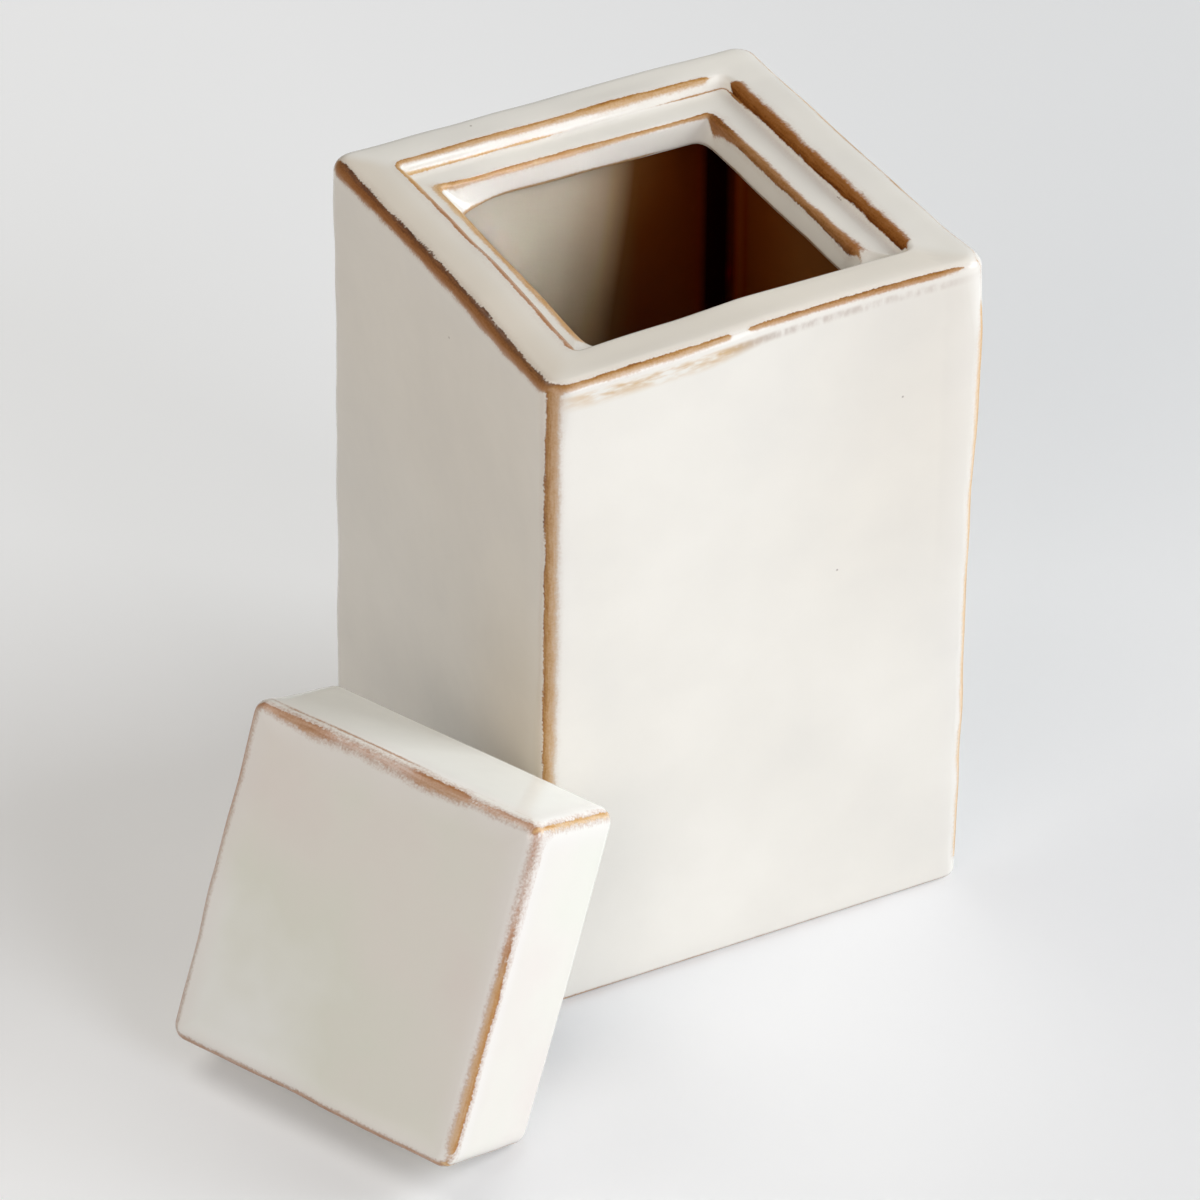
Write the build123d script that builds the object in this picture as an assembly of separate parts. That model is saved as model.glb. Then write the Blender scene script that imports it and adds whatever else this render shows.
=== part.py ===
"""A square glazed ceramic jar with a thick block lid, the lid off and leaning on the jar.

Millimetres, +Z up. The origin is the middle of the jar's underside, on the surface that it
stands on. The jar's faces look along X and Y. Both pieces are slip cast: the jar has a sunk
seat and a shelf around its mouth, and the hollow lid has a collar that drops through the
shelf when the lid is on.
"""
from build123d import *
import math
import os

# Jar body, outside
jar_width = 100.0
jar_height = 156.5
jar_corner_radius = 3.5
jar_rim_radius = 3.0
jar_base_radius = 2.5

# Jar body, inside
wall_thickness = 8.0
floor_thickness = 8.0
cavity_corner_radius = 7.5
cavity_floor_radius = 5.0

# Mouth: the seat that the lid sits in, and the shelf under it
seat_depth = 4.4
seat_corner_radius = 3.0
seat_rim_radius = 1.8
seat_cove_radius = 1.2
shelf_thickness = 5.1
shelf_edge_radius = 1.2
throat_top_corner_radius = 2.5
throat_lip_corner_radius = 8.0
shelf_lip_radius = 1.5

# Lid: a hollow block with a collar underneath
lid_width = 74.6
lid_height = 28.5
lid_corner_radius = 3.5
lid_edge_radius = 3.0
lid_wall = 6.0
collar_width = 59.0
collar_depth = 14.5
collar_wall = 5.5
collar_end_radius = 2.0

# Fits, each the gap on one side
seat_clearance = 1.1
collar_clearance = 1.2

# How the lid leans: turned about Z, tipped back, and held by the jar's front upright edge
lean_turn = -65.5
lean_angle = 23.7
lean_offset = 10.6
lean_gap = 0.3

# What follows from them
seat_width = lid_width + 2 * seat_clearance
throat_width = collar_width + 2 * collar_clearance
cavity_width = jar_width - 2 * wall_thickness
collar_corner_radius = throat_lip_corner_radius - collar_clearance
seat_level = jar_height - seat_depth
shelf_underside = seat_level - shelf_thickness


def square_prism(width, corner, bottom, top):
    """An upright square prism with rounded upright edges, between two heights."""
    outline = Pos(0, 0, bottom) * RectangleRounded(width, width, corner)
    return extrude(outline, amount=top - bottom)


def flat_face_at(solid, height):
    """The largest level face of a solid at one height."""
    level = solid.faces().filter_by(Plane.XY)
    at_height = level.filter_by(lambda face: abs(face.center().Z - height) < 0.01)
    return at_height.sort_by(SortBy.AREA)[-1]


def throat_plug():
    """The space inside the shelf: near square at the seat, with rounder corners at its lip."""
    top = Pos(0, 0, seat_level) * RectangleRounded(throat_width, throat_width, throat_top_corner_radius)
    lip = Pos(0, 0, shelf_underside) * RectangleRounded(throat_width, throat_width, throat_lip_corner_radius)
    return loft([lip, top], ruled=True)


def jar_body():
    """The body: one cast shell with its seat, shelf and throat."""
    body = square_prism(jar_width, jar_corner_radius, 0, jar_height)
    body = fillet(flat_face_at(body, jar_height).edges(), jar_rim_radius)
    body = fillet(flat_face_at(body, 0).edges(), jar_base_radius)
    cavity = square_prism(cavity_width, cavity_corner_radius, floor_thickness, shelf_underside)
    cavity = fillet(flat_face_at(cavity, floor_thickness).edges(), cavity_floor_radius)
    body -= cavity
    body -= throat_plug()
    body -= square_prism(seat_width, seat_corner_radius, seat_level, jar_height)
    body = fillet(flat_face_at(body, jar_height).inner_wires()[0].edges(), seat_rim_radius)
    body = fillet(flat_face_at(body, seat_level).inner_wires()[0].edges(), shelf_edge_radius)
    body = fillet(flat_face_at(body, seat_level).outer_wire().edges(), seat_cove_radius)
    return fillet(flat_face_at(body, shelf_underside).inner_wires()[0].edges(), shelf_lip_radius)


def lid_on_its_seat():
    """The lid as it sits when closed, with the middle of its underside at the origin."""
    block = square_prism(lid_width, lid_corner_radius, 0, lid_height)
    block = fillet(flat_face_at(block, lid_height).edges(), lid_edge_radius)
    block = fillet(flat_face_at(block, 0).edges(), lid_edge_radius)
    collar = square_prism(collar_width, collar_corner_radius, -collar_depth, lid_wall)
    collar = fillet(flat_face_at(collar, -collar_depth).edges(), collar_end_radius)
    chamber_width = lid_width - 2 * lid_wall
    bore_width = collar_width - 2 * collar_wall
    bore_corner = max(collar_corner_radius - collar_wall, 1.0)
    chamber = square_prism(chamber_width, lid_corner_radius, lid_wall, lid_height - lid_wall)
    bore = square_prism(bore_width, bore_corner, -collar_depth, lid_wall)
    return block + collar - chamber - bore


def leaning_place():
    """Where the lid leans: its lower back edge on the floor, its collar on the jar's front edge."""
    turn = math.radians(lean_turn)
    lean = math.radians(lean_angle)
    along_lid = Vector(math.cos(turn), math.sin(turn), 0)
    towards_jar = Vector(-math.sin(turn), math.cos(turn), 0)
    lid_out = Vector(0, 0, math.sin(lean)) - towards_jar * math.cos(lean)

    # The upright edge of the jar is a quarter cylinder about this axis
    edge_inset = jar_width / 2 - jar_corner_radius
    jar_edge = Vector(-edge_inset, -edge_inset, 0)

    # The collar's top edge stops short of that cylinder by the lean gap
    collar_up = collar_width / 2 - collar_end_radius
    collar_in = collar_depth - collar_end_radius
    collar_reach = collar_up * math.sin(lean) + collar_in * math.cos(lean)
    stand_off = jar_corner_radius + collar_end_radius + lean_gap + collar_reach

    # The block's lower back edge touches the floor, unless the collar would reach it first
    block_down = lid_width / 2 - lid_edge_radius
    block_drop = block_down * math.cos(lean) - lid_edge_radius * math.sin(lean) + lid_edge_radius
    collar_drop = collar_up * math.cos(lean) + collar_in * math.sin(lean) + collar_end_radius

    across = along_lid * (jar_edge.dot(along_lid) - lean_offset)
    inwards = towards_jar * (jar_edge.dot(towards_jar) - stand_off)
    middle = across + inwards + Vector(0, 0, max(block_drop, collar_drop))
    return Plane(origin=middle, x_dir=along_lid, z_dir=lid_out).location


def lid():
    """The lid, off the jar and leaning on it."""
    return leaning_place() * lid_on_its_seat()


def main():
    os.makedirs("parts", exist_ok=True)
    export_step(jar_body(), "parts/jar_body.step")
    export_step(lid(), "parts/lid.step")
    print("seat", round(seat_width, 2), "throat", round(throat_width, 2), "cavity", round(cavity_width, 2))


main()
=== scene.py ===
# %% [markdown]
# # A cream glazed canister with its lid off
#
# The real object is two pieces of slip-cast stoneware: a square jar with a sunk seat around its
# mouth, and a thick square lid that leans on the jar's front edge. Both are dipped in one thick,
# glossy cream glaze. Where the form turns sharply the glaze runs thin in the kiln and the
# iron-brown clay shows through, and potters call that breaking. So the lesson has three parts:
# soft cast forms with edges that are never quite straight, a glaze that knows how far it is from
# each edge, and plain studio light.

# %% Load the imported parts
import bmesh
import bpy
import math
import numpy as np
from functools import partial
from mathutils import Matrix, Vector, noise


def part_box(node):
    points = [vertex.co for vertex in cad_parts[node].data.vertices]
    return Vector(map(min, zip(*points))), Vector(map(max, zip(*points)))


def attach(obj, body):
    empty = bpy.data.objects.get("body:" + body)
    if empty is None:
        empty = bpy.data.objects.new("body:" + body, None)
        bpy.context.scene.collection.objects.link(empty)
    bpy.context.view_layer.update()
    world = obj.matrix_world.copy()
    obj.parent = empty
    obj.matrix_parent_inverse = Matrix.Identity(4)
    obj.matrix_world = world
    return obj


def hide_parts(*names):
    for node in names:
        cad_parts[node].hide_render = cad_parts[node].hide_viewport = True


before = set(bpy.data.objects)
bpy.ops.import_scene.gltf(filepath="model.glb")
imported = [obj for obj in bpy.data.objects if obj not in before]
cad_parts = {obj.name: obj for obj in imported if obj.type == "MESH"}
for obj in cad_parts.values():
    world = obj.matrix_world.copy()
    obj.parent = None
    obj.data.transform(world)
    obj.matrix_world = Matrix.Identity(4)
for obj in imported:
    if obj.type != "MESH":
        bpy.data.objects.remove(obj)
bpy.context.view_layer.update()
jar_low, jar_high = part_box("jar_body")

# %% [markdown]
# ## The camera
#
# The photograph was taken with a long lens from above and in front: the uprights hardly
# converge. Only the distance sets how much the jar tapers to the eye, so it was settled first,
# from the edges' slopes, and the lens follows from the jar's size in the square frame.

# %% Place the camera
camera_place = Vector((-0.65707, -1.20752, 1.01596))
camera_down = math.radians(34.885)
camera_right = math.radians(28.133)
camera_roll = math.radians(0.306)
sensor_mm = 36.0
lens_mm = 235.8

camera_data = bpy.data.cameras.new("studio_camera")
camera_data.sensor_width = sensor_mm
camera_data.lens = lens_mm
camera_data.clip_start = 0.05
camera_data.clip_end = 20.0
camera = bpy.data.objects.new("studio_camera", camera_data)
bpy.context.scene.collection.objects.link(camera)
camera.matrix_world = (
    Matrix.Translation(camera_place)
    @ Matrix.Rotation(-camera_right, 4, "Z")
    @ Matrix.Rotation(math.radians(90) - camera_down, 4, "X")
    @ Matrix.Rotation(camera_roll, 4, "Z")
)
bpy.context.scene.camera = camera
print("camera is", round(camera_place.length, 3), "m from the jar's foot")

# %% [markdown]
# ## Sizes
#
# Everything is in millimetres, as a potter would measure it, until the finished meshes are scaled
# to metres. The jar's outside is read from the frame. The mouth is a stack of steps: a rim, a seat
# for the lid's block, a shelf, and a throat for its collar.

# %% Sizes of the jar and the lid, in millimetres
mm = 0.001
jar_width = (jar_high.x - jar_low.x) / mm
jar_height = (jar_high.z - jar_low.z) / mm
jar_corner, jar_top_corner, jar_rim_round, jar_base_round = 3.5, 5.5, 3.0, 1.8
seat_width, seat_depth, seat_corner, seat_rim_round, seat_cove = 76.8, 2.9, 1.4, 1.8, 1.0
throat_width, throat_top_corner, throat_lip_corner = 61.4, 1.0, 4.0
shelf_thickness, shelf_edge_round, shelf_lip_round = 6.6, 1.2, 1.5
cavity_width, cavity_corner, cavity_top_round, cavity_floor_round = 84.0, 7.5, 2.0, 5.0
floor_thickness, top_corner_length = 8.0, 14.0
lid_width, lid_height, lid_corner, lid_round, lid_wall = 74.6, 28.5, 3.5, 3.0, 6.0
collar_width, collar_depth, collar_wall, collar_corner = 59.0, 14.5, 5.5, 6.8
collar_end_round, drawn_end_round = 2.0, 5.0
print("jar", round(jar_width, 2), "by", round(jar_height, 2), "mm")

# %% [markdown]
# ## A profile that walks around the section
#
# Cut the jar in half and its section is one line: up the outside, over the rim, down into the
# seat, over the shelf, down the inside and across the floor. Each point of that line becomes a
# rounded square ring round the jar. So a form is a list of rings, each with its half width, the
# radius of its corners in plan and its height, and two helpers add straight runs and quarter
# rounds to it. All rings have as many points, so the mesh is quads with rows along the edges.

# %% Build a profile from runs and quarter rounds
def run_to(profile, half, corner, height, steps):
    """Adds steps rings, evenly spaced from the last ring to the one given."""
    last = np.array(profile[-1])
    goal = np.array((half, corner, height))
    for k in range(1, steps + 1):
        profile.append(tuple(last + (goal - last) * k / steps))


def turn_to(profile, half, height, starts_level, steps):
    """Adds a quarter round from the last ring. The plan corner grows or shrinks with the ring."""
    half_0, corner_0, height_0 = profile[-1]
    for k in range(1, steps + 1):
        angle = math.radians(90) * k / steps
        along, across = math.sin(angle), 1 - math.cos(angle)
        level, upright = (along, across) if starts_level else (across, along)
        ring_half = half_0 + (half - half_0) * level
        ring_height = height_0 + (height - height_0) * upright
        profile.append((ring_half, corner_0 + ring_half - half_0, ring_height))


def jar_profile():
    """The jar's section, from the middle of its underside to the middle of its inside floor."""
    outer, seat = jar_width / 2, seat_width / 2
    throat, cavity = throat_width / 2, cavity_width / 2
    seat_level = jar_height - seat_depth
    under_shelf = seat_level - shelf_thickness
    rings = [(4.0, 0.4, 0.0)]
    run, turn = partial(run_to, rings), partial(turn_to, rings)
    run(outer - jar_base_round, jar_corner - jar_base_round, 0.0, 4)
    crest = {"base": len(rings) + 2}
    turn(outer, jar_base_round, True, 5)
    crest["wall"] = len(rings)
    run(outer, jar_corner, jar_height - jar_rim_round - top_corner_length, 36)
    run(outer, jar_top_corner, jar_height - jar_rim_round, 6)
    crest["rim"] = len(rings) + 2
    turn(outer - jar_rim_round, jar_height, False, 6)
    run(seat + seat_rim_round, seat_corner + seat_rim_round, jar_height, 4)
    crest["seat"] = len(rings) + 2
    turn(seat, jar_height - seat_rim_round, True, 6)
    run(seat, seat_corner, seat_level + seat_cove, 2)
    crest["foot"] = len(rings) + 1
    turn(seat - seat_cove, seat_level, False, 4)
    run(throat + shelf_edge_round, throat_top_corner + shelf_edge_round, seat_level, 4)
    crest["shelf"] = len(rings) + 2
    turn(throat, seat_level - shelf_edge_round, True, 6)
    run(throat, throat_lip_corner, under_shelf + shelf_lip_round, 3)
    crest["lip"] = len(rings) + 1
    turn(throat + shelf_lip_round, under_shelf, False, 4)
    run(cavity - cavity_top_round, cavity_corner - cavity_top_round, under_shelf, 3)
    turn(cavity, under_shelf - cavity_top_round, True, 3)
    run(cavity, cavity_corner, floor_thickness + cavity_floor_round, 26)
    turn(cavity - cavity_floor_round, floor_thickness, False, 4)
    run(4.0, 0.4, floor_thickness, 5)
    return rings, crest


def lid_profile():
    """The lid's section, upright, from the middle of its plain top to the roof of its hollow."""
    outer, collar, bore = lid_width / 2, collar_width / 2, collar_width / 2 - collar_wall
    chamber = outer - lid_wall
    rings = [(3.0, 0.3, lid_height)]
    run, turn = partial(run_to, rings), partial(turn_to, rings)
    run(outer - lid_round, lid_corner - lid_round, lid_height, 9)
    crest = {"top": len(rings) + 2}
    turn(outer, lid_height - lid_round, True, 6)
    run(outer, lid_corner, lid_round, 8)
    crest["back"] = len(rings) + 2
    turn(outer - lid_round, 0.0, False, 6)
    run(collar, collar_corner, 0.0, 3)
    run(collar, collar_corner, drawn_end_round - collar_depth, 5)
    crest["collar"] = len(rings) + 2
    turn(collar - drawn_end_round, -collar_depth, False, 5)
    run(bore, 2.0, -collar_depth, 1)
    run(bore, 2.0, lid_wall, 5)
    run(chamber, lid_corner, lid_wall, 3)
    run(chamber, lid_corner, lid_height - lid_wall, 4)
    run(3.0, 0.3, lid_height - lid_wall, 4)
    return rings, crest


jar_rings, jar_crests = jar_profile()
lid_rings, lid_crests = lid_profile()
print(len(jar_rings), "rings in the jar and", len(lid_rings), "in the lid")

# %% [markdown]
# ## From a plane to a cast form
#
# The form starts as a plane. Its four corners are bevelled in plan, its sides are subdivided, and
# the face is then extruded once for each ring and laid on the ring's outline, as a modeller would
# by hand with extrude, move and scale. Each point keeps the number of its ring as an attribute.

# %% Lay rings by extruding a plane
def on_outline(x, y, half_0, corner_0, half, corner):
    """Moves a plan point from one rounded square to the same place on another."""
    flat_0, flat = half_0 - corner_0, half - corner
    out_x, out_y = abs(x) - flat_0, abs(y) - flat_0
    if out_x > -1e-4 and out_y > -1e-4:
        angle = math.atan2(out_y, out_x)
        across, up = flat + corner * math.cos(angle), flat + corner * math.sin(angle)
        return math.copysign(across, x), math.copysign(up, y)
    if out_x > out_y:
        return math.copysign(half, x), y / flat_0 * flat
    return x / flat_0 * flat, math.copysign(half, y)


def cast_form(name, rings, side_cuts, corner_cuts):
    """Extrudes a plane through every ring, and numbers each point's ring."""
    half, corner, height = rings[0]
    bpy.ops.object.select_all(action="DESELECT")
    bpy.ops.mesh.primitive_plane_add(size=2 * half, location=(0, 0, height))
    piece = bpy.context.active_object
    piece.name = piece.data.name = name
    bpy.ops.object.transform_apply(location=True, rotation=True, scale=True)
    bpy.ops.object.mode_set(mode="EDIT")
    bpy.ops.mesh.select_mode(type="VERT")
    bpy.ops.mesh.select_all(action="SELECT")
    bpy.ops.mesh.bevel(offset=corner, segments=corner_cuts, affect="VERTICES", profile=0.5)
    bpy.ops.mesh.select_mode(type="EDGE")
    bpy.ops.mesh.select_all(action="DESELECT")
    mesh = bmesh.from_edit_mesh(piece.data)
    for edge in mesh.edges:
        edge.select_set(edge.calc_length() > half)
    bpy.ops.mesh.subdivide(number_cuts=side_cuts)
    bpy.ops.mesh.select_mode(type="FACE")
    bpy.ops.mesh.select_all(action="SELECT")
    mesh = bmesh.from_edit_mesh(piece.data)
    mesh.verts.layers.int.new("ring")
    for number, (old, new) in enumerate(zip(rings, rings[1:]), start=1):
        bpy.ops.mesh.extrude_region_move(TRANSFORM_OT_translate={"value": (0, 0, new[2] - old[2])})
        mesh = bmesh.from_edit_mesh(piece.data)
        ring = mesh.verts.layers.int["ring"]
        for point in [v for v in mesh.verts if v.select]:
            plan = on_outline(point.co.x, point.co.y, old[0], old[1], new[0], new[1])
            point.co = (*plan, new[2])
            point[ring] = number
    bmesh.update_edit_mesh(piece.data)
    bpy.ops.mesh.select_all(action="SELECT")
    bpy.ops.mesh.normals_make_consistent(inside=False)
    bpy.ops.object.mode_set(mode="OBJECT")
    bpy.ops.object.shade_smooth()
    return piece


jar = cast_form("glazed_jar", jar_rings, side_cuts=71, corner_cuts=6)
lid = cast_form("glazed_lid", lid_rings, side_cuts=55, corner_cuts=6)
for piece in (jar, lid):
    print(piece.name, len(piece.data.polygons), "faces", [round(v, 2) for v in piece.dimensions])

# %% [markdown]
# ## Where each point is on its ring
#
# Later steps ask the same of every point: which way does its ring run, how far is the nearest
# upright corner, and which side does it face. The answers are worked out once, on the true form,
# before it is warped. Sides are counted from the left one, which faces -X, round by the front, the
# right and the back. A corner belongs partly to each of its two sides, so what differs by side
# fades from one to the next.

# %% Measure each point of a form
def measured(piece, rings):
    """What later steps need to know of each point, in millimetres, from the true form."""
    count = len(piece.data.vertices)
    points, ring, normals = np.zeros(count * 3), np.zeros(count, np.int32), np.zeros(count * 3)
    piece.data.vertices.foreach_get("co", points)
    piece.data.vertices.foreach_get("normal", normals)
    piece.data.attributes["ring"].data.foreach_get("value", ring)
    points, normals = points.reshape(-1, 3), normals.reshape(-1, 3)
    half, corner = (np.array(column)[ring] for column in list(zip(*rings))[:2])
    out = np.abs(points[:, :2]) - (half - corner)[:, None]
    farther = out.min(1)
    on_corner = farther > -1e-3
    turn = np.arctan2(np.maximum(out[:, 1], 0), np.maximum(out[:, 0], 1e-6))
    turn = np.where(on_corner, turn, np.where(out[:, 0] > out[:, 1], 0.0, math.pi / 2))
    sign = np.where(points[:, :2] < 0, -1.0, 1.0)
    face = np.stack((np.cos(turn) ** 2, np.sin(turn) ** 2), 1)
    shares = np.stack(
        (face[:, 0] * (sign[:, 0] < 0), face[:, 1] * (sign[:, 1] < 0),
         face[:, 0] * (sign[:, 0] > 0), face[:, 1] * (sign[:, 1] > 0)), 1
    )
    along = np.stack((-np.sin(turn) * sign[:, 0], np.cos(turn) * sign[:, 1], 0 * turn), 1)
    quarter = math.pi / 4
    beyond = np.where(on_corner, 0, np.where(turn > quarter, -farther, farther))
    from_corner = corner * (turn - quarter) + beyond
    negative = sign < 0
    which = np.select([negative.all(1), ~negative[:, 0] & negative[:, 1], ~negative.any(1)], [0, 1, 2], 3)
    steps = [0.0] + [math.hypot(b[0] - a[0], b[2] - a[2]) for a, b in zip(rings, rings[1:])]
    walked = np.cumsum(steps)
    return {
        "points": points, "normals": normals, "ring": ring, "along": along,
        "shares": shares, "from_corner": from_corner, "corner": which, "walked": walked,
    }


def ease(value, low, high):
    """Rises smoothly from 0 at low to 1 at high."""
    t = np.clip((value - low) / (high - low), 0, 1)
    return t * t * (3 - 2 * t)


jar_form = measured(jar, jar_rings)
lid_form = measured(lid, lid_rings)
print("points measured:", len(jar_form["points"]), "and", len(lid_form["points"]))

# %% [markdown]
# ## Where the glaze breaks
#
# The glaze is thin over a sharp edge and thick again two millimetres away. So each point is given
# its distance to the nearest sharp edge in widths of that edge's brown band, how far the clay
# shows there, how dark it is, and which of the band's two borders it is nearer to. No edge is the
# same from end to end, so a band is written down as a few stops along each side: a place, how far
# the band lies off the edge, half its width, the wear, the tone, and where its dark, crisp border
# is, which is +1 towards the mouth and nearer 0 where the two borders are alike. A side with one
# stop is the same all along. The uprights go round like the sides, from the left front one.

# %% Write down the jar's bands
jar_edges = {
    "base": (
        ((0, 0, 0.3, 0.2, 0.1, 1),),
        # At the front the base's band is a thin mauve line along the foot, widest at the left.
        ((-50, 0, 0.9, 0.85, -0.5, 0), (0, 0, 0.6, 0.75, -0.5, 0), (50, 0, 0.45, 0.7, -0.4, 0)),
        ((0, 0, 0.3, 0.2, 0.1, 1),),
        ((0, 0, 0.3, 0.2, 0.1, 1),),
    ),
    "rim": (
        ((-50, -0.3, 1.6, 1, 0.85, 1), (-30, -0.2, 1.8, 1, 0.9, 1), (0, -0.1, 1.9, 1, 0.95, 1),
         (36, 0, 1.9, 1, 1, 1), (44, 0.1, 1.9, 0.95, 0.95, 1), (48, 0.2, 1.6, 0.7, 0.8, 1)),
        ((-50, -0.1, 1, 1, 0.6, 0.9), (-40, 0, 0.95, 0.95, 0.45, 0.9), (-8.5, 0, 0.85, 0.9, 0.4, 0.9),
         (-7.2, 0, 0.6, 0.1, 0, 0.8), (-4.8, 0, 0.6, 0.1, 0, 0.8), (-3.5, 0, 0.75, 0.95, 0.5, 0.9),
         (30, 0, 0.9, 0.95, 0.7, 0.9), (43, 0, 0.95, 0.9, 0.65, 0.9), (46, 0, 0.7, 0.2, 0.5, 0.9)),
        ((-46, 0.9, 0.6, 0.6, 0.3, 0.5), (0, 0.9, 0.6, 0.9, 0.4, 0.5), (44, 0.9, 0.6, 0.75, -0.3, 0.5)),
        ((-50, 0, 0.9, 0.3, 0.3, 1), (-42, 0.9, 0.4, 0.4, -0.9, 0.5), (45, 0.9, 0.4, 0.5, -0.9, 0.5)),
    ),
    "seat": (
        ((-40, -0.6, 1.4, 0.75, -0.8, -0.8), (20, -0.6, 1.4, 0.8, -0.75, -0.8),
         (40, -0.5, 1.2, 0.9, 0.2, -0.8)),
        ((-40, -0.2, 0.4, 0.85, 0, -0.5), (40, -0.2, 0.4, 0.8, 0, -0.5)),
        ((-38.5, 0.5, 1, 0.2, 1, 0.7), (-36, 0.5, 2.2, 1, 1, 0.7), (30, 0.5, 2.2, 1, 1, 0.7),
         (35.5, 0.4, 2, 1, 1, 0.7), (37.5, 0.3, 0.9, 0.2, 0.9, 0.5)),
        ((-38.5, -0.7, 0.9, 0.95, 0.4, -0.7), (-10, -0.6, 1.1, 1, 0.35, -0.8),
         (34.5, -0.5, 1.2, 1, 0.35, -0.8), (36.5, -0.5, 0.5, 0, 0.2, -0.5)),
    ),
    # The foot is a hollow, not a sharp edge: what is drawn along it, at the right and the back, is a thin
    # tan to brown line.
    "foot": (
        ((0, 0, 0.3, 0, 0.2, 1),),
        ((0, 0, 0.3, 0, 0.2, 1),),
        ((-40, 0, 0.3, 0.2, 0.3, 1), (25, 0, 0.3, 0.3, 0.5, 1), (36, 0, 0.4, 0.6, 0.8, 1)),
        ((-38, 0, 0.7, 0.75, 0, 0.3), (-5, 0, 0.6, 0.65, 0, 0.3), (8, 0, 0.3, 0.2, 0, 0.3),
         (17, 0, 0.3, 0.2, 0.4, 0.3), (22, 0, 0.45, 0.6, 0.5, 0.3), (36, 0, 0.5, 0.65, 0.5, 0.3)),
    ),
    "shelf": (
        ((-32, -0.8, 1.9, 1, -0.3, 0.3), (10, -0.8, 1.9, 1, -0.2, 0.3), (32, -0.6, 1.8, 0.95, 0.2, 0.5)),
        ((0, -0.2, 0.8, 0.4, 0.2, -0.6),),
        ((-32, 0, 2.2, 1, 1, 0.6), (-22, 0, 1.4, 1, 0.85, 0.6), (-8, 0, 1.15, 1, 0.8, 0.6),
         (4, 0, 1.6, 1, 0.8, 0.5), (16, 0, 1.3, 1, 0.75, 0.5), (24, 0.2, 1.5, 1, 0.9, -0.4),
         (28, 0.9, 2.3, 1, 0.95, -0.4), (31, 0.6, 1.4, 0.9, 0.9, -0.4)),
        ((-30, 0, 1.2, 1, 0.3, -0.8), (-10, 0, 1, 1, 0.35, -0.8), (20, 0, 0.6, 0.95, 0.4, -0.8),
         (31, 0, 0.7, 0.95, 0.6, -0.7)),
    ),
    "lip": (
        ((-30, -0.4, 0.7, 0.95, 0.6, 0.5), (30, -0.4, 0.7, 0.95, 0.5, 0.5)),
        ((0, -0.4, 0.6, 0.9, 0.5, 0.5),),
        ((-30, -0.4, 0.5, 0.85, 0.7, 0.5), (30, -0.4, 0.5, 0.75, 0.7, 0.5)),
        ((-30, -0.4, 0.6, 1, 0.2, 0.5), (12, -0.4, 0.55, 0.95, 0.3, 0.5), (20, -0.4, 0.5, 0.6, 0.5, 0.5)),
    ),
}
jar_uprights = (
    ((0, 0, 1.4, 0.9, 0.2, 1), (60, 0, 1.7, 1, 0.3, 1), (110, 0, 1.7, 1, 0.35, 1), (156, 0, 1.9, 1, 0.5, 1)),
    ((0, 0, 1.4, 0.8, 0, 0.9), (90, 0, 1.5, 0.9, 0, 0.9), (138, 0, 1.5, 0.9, -0.1, 0.8),
     (145, 0, 1.2, 0.8, -0.1, 0.8), (148, 0, 0.8, 0.2, -0.2, 0.8), (151, 0, 1.2, 0.5, -0.2, 0.8)),
    ((0, 0, 1.3, 0.9, 0.2, 1), (60, 0, 1.5, 1, 0.4, 1), (156, 0, 1.7, 1, 0.6, 1)),
    ((0, -0.9, 1.1, 0.9, 0.2, 1), (110, -0.9, 1.2, 0.95, 0.4, 1), (148, -0.9, 1, 0.9, 0.5, 1),
     (152, -0.6, 0.6, 0.1, 0.5, 1)),
)
print("the jar has bands on", len(jar_edges), "edges all round and on four uprights")

# %% [markdown]
# ## The lid's breaks
#
# The lid's glaze is thinner over its edges, so its bands are more broken and more mauve. Along the
# side that is uppermost when it leans runs one more thin line, three rings further from its face.

# %% Write down the lid's bands
lid_edges = {
    "top": (
        ((-37, 0, 1.2, 0.8, -1, 1), (0, 0, 1.3, 0.85, -0.95, 1), (12, 0, 1.4, 0.9, -0.85, 0.8),
         (37, 0, 1.3, 0.95, -0.8, 0.8)),
        ((-37, 0, 0.9, 0.95, -0.8, 0.6), (37, 0, 0.9, 0.9, -0.75, 0.6)),
        ((-36, 0.3, 1.1, 0.3, -0.4, 0.8), (-32, 0.4, 1.1, 1, -0.35, 0.8), (4, 0.4, 1, 1, -0.4, 0.8),
         (11, 0.3, 1.1, 0.85, -0.8, 0.5), (20, 0.2, 1.4, 0.6, -1, 0.2), (37, 0.2, 1.4, 0.65, -1, 0.2)),
        ((-37, -0.3, 1, 0.8, -0.9, 0.6), (-28, -0.4, 1.3, 1, -0.72, 0.6), (-21, -0.5, 1.5, 1, -0.75, 0.6),
         (-15, -0.5, 1.8, 0.75, -1, 0.1), (3, -0.5, 1.8, 0.75, -1, 0.1), (8, -0.4, 1.5, 1, -0.74, 0.6),
         (16, -0.3, 1.4, 1, -0.7, 0.7), (22, -0.3, 1.2, 0.8, -0.9, 0.5), (37, 0, 1.2, 0.8, -0.9, 0.5)),
    ),
    "line": (
        *(((0, 0, 0.3, 0, 0.3, 1),),) * 3,
        ((-34, 0, 0.35, 0.4, -0.8, 0.5), (-28, 0, 0.5, 0.7, -0.7, 0.5), (0, 0, 0.5, 0.65, -0.8, 0.5),
         (8, 0, 0.3, 0, -0.8, 0.5)),
    ),
    "back": (
        ((-37, 0, 0.5, 0.5, 0.4, 1), (37, 0, 0.5, 0.4, 0.4, 1)),
        ((0, 0, 0.5, 0.7, 0.4, 1),),
        ((-37, 0, 0.4, 0.1, 0.4, 1), (37, 0, 0.4, 0, 0.4, 1)),
        ((0, 0, 0.4, 0, 0.4, 1),),
    ),
    "collar": (((0, 0, 0.8, 0.9, 0.5, 1),),) * 4,
}
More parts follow.
